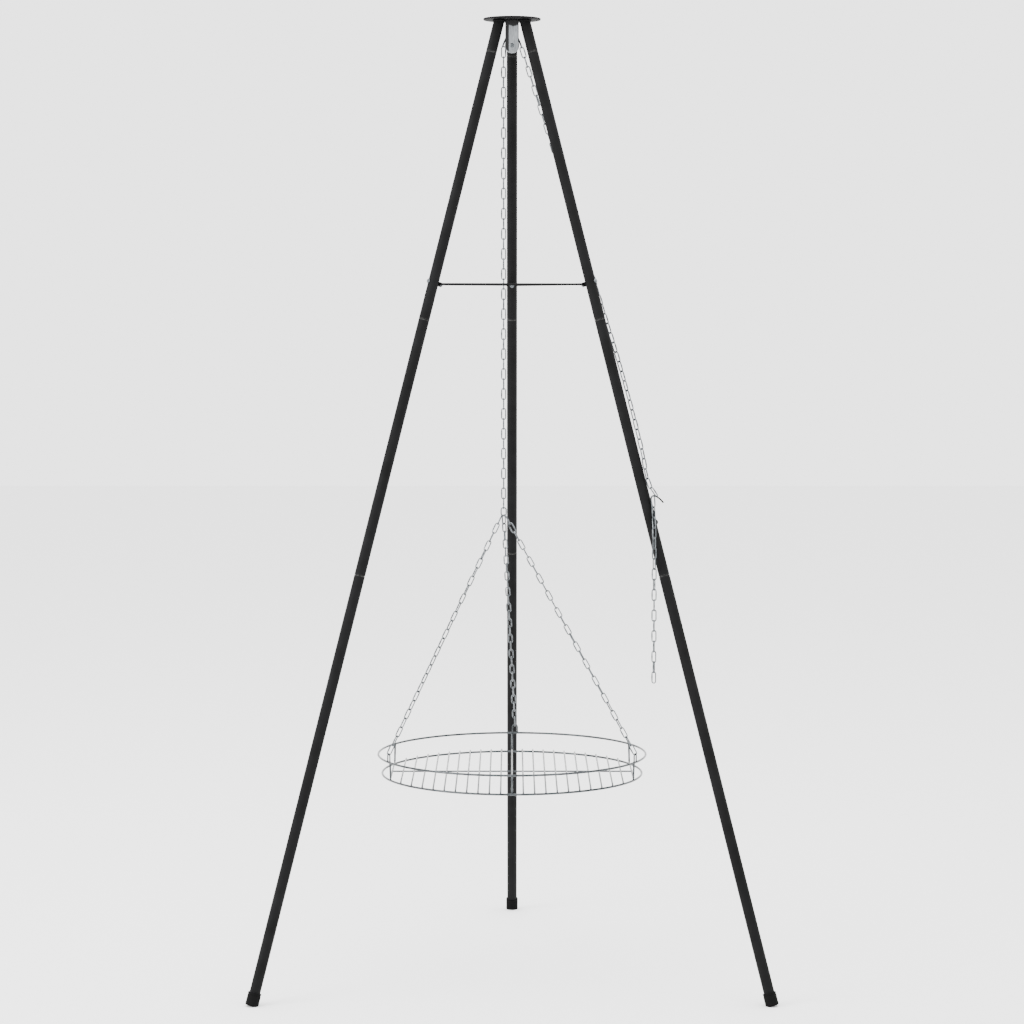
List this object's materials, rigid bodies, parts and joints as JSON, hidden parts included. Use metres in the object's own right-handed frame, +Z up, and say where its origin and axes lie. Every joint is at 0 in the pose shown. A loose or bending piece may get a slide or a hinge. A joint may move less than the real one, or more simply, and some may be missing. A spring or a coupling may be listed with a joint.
{
  "type": "campfire tripod grate",
  "caption": "Campfire tripod of plug-together black tubes with a round wire grate that hangs from a chain over a pulley and is raised by the chain's other end.",
  "frame": {"origin": "on the ground, under the middle of the object's box in plan", "axes": "+Z up, -Y towards the open front between the two front legs, +X to the side of the leg with the hook"},
  "size_m": [0.9674, 0.8411, 1.8025],
  "materials": {
    "black_coat": "satin powder coat",
    "black_rubber": "matte",
    "zinc": "zinc plated",
    "bright_wire": "bright plated wire"
  },
  "bodies": {
    "tripod": {"head_disc": "black_coat", "pulley_housing": "zinc", "pulley_axle": "zinc", "hanger_bolt": "zinc", "hanger_nut": "zinc", "pulley_chain": "zinc", "return_chain": "zinc", "chain_hook": "black_coat", "hook_screw": "black_coat", "brace_left_right": "black_coat", "brace_right_rear": "black_coat", "brace_rear_left": "black_coat", "left_socket_tube": "black_coat", "left_upper_tube": "black_coat", "left_middle_tube": "black_coat", "left_lower_tube": "black_coat", "left_foot_cap": "black_rubber", "left_brace_bolt": "zinc", "left_brace_nut": "zinc", "right_socket_tube": "black_coat", "right_upper_tube": "black_coat", "right_middle_tube": "black_coat", "right_lower_tube": "black_coat", "right_foot_cap": "black_rubber", "right_brace_bolt": "zinc", "right_brace_nut": "zinc", "rear_socket_tube": "black_coat", "rear_upper_tube": "black_coat", "rear_middle_tube": "black_coat", "rear_lower_tube": "black_coat", "rear_foot_cap": "black_rubber", "rear_brace_bolt": "zinc", "rear_brace_nut": "zinc"},
    "wheel": {"pulley_wheel": "zinc"},
    "top_link": {"chain_top_link": "zinc"},
    "chain": {"main_chain": "zinc"},
    "ring": {"gathering_ring": "zinc"},
    "grate": {"grate_upper_ring": "bright_wire", "grate_lower_ring": "bright_wire", "grate_bars": "bright_wire", "upright_front_left": "bright_wire", "upright_front_middle": "bright_wire", "upright_front_right": "bright_wire", "upright_rear_left": "bright_wire", "upright_rear_middle": "bright_wire", "upright_rear_right": "bright_wire", "spread_chain_left": "zinc", "spread_chain_right": "zinc", "spread_chain_rear": "zinc", "chain_lug_left": "bright_wire", "chain_lug_right": "bright_wire", "chain_lug_rear": "bright_wire"},
    "tail": {"chain_tail": "zinc"}
  },
  "joints": [
    {"name": "wheel_spin", "type": "hinge", "parent": "tripod", "child": "wheel", "pos_m": [0, -0.13637, 1.7496], "axis": [0, 1, 0], "continuous": true},
    {"name": "chain_swing_front", "type": "hinge", "parent": "tripod", "child": "top_link", "pos_m": [-0.0158, -0.13637, 1.7496], "axis": [1, 0, 0], "range_deg": [-1.5, 1.5]},
    {"name": "chain_swing_side", "type": "hinge", "parent": "top_link", "child": "chain", "pos_m": [-0.0158, -0.13637, 1.7264], "axis": [0, 1, 0], "range_deg": [-1.5, 1.5]},
    {"name": "grate_lift", "type": "slide", "parent": "chain", "child": "ring", "axis": [0, 0, 1], "range_m": [0, 0.25], "deforming": ["main_chain"]},
    {"name": "grate_turn", "type": "hinge", "parent": "ring", "child": "grate", "pos_m": [-0.0158, -0.13637, 0.8786], "axis": [0, 0, 1], "continuous": true},
    {"name": "tail_swing", "type": "hinge", "parent": "tripod", "child": "tail", "pos_m": [0.26007, -0.28974, 0.9102], "axis": [-1, 0, 0], "range_deg": [0, 20]}
  ],
  "couplings": [
    {"joint": "wheel_spin", "follows": "grate_lift", "rad_per_m": 63.291}
  ]
}
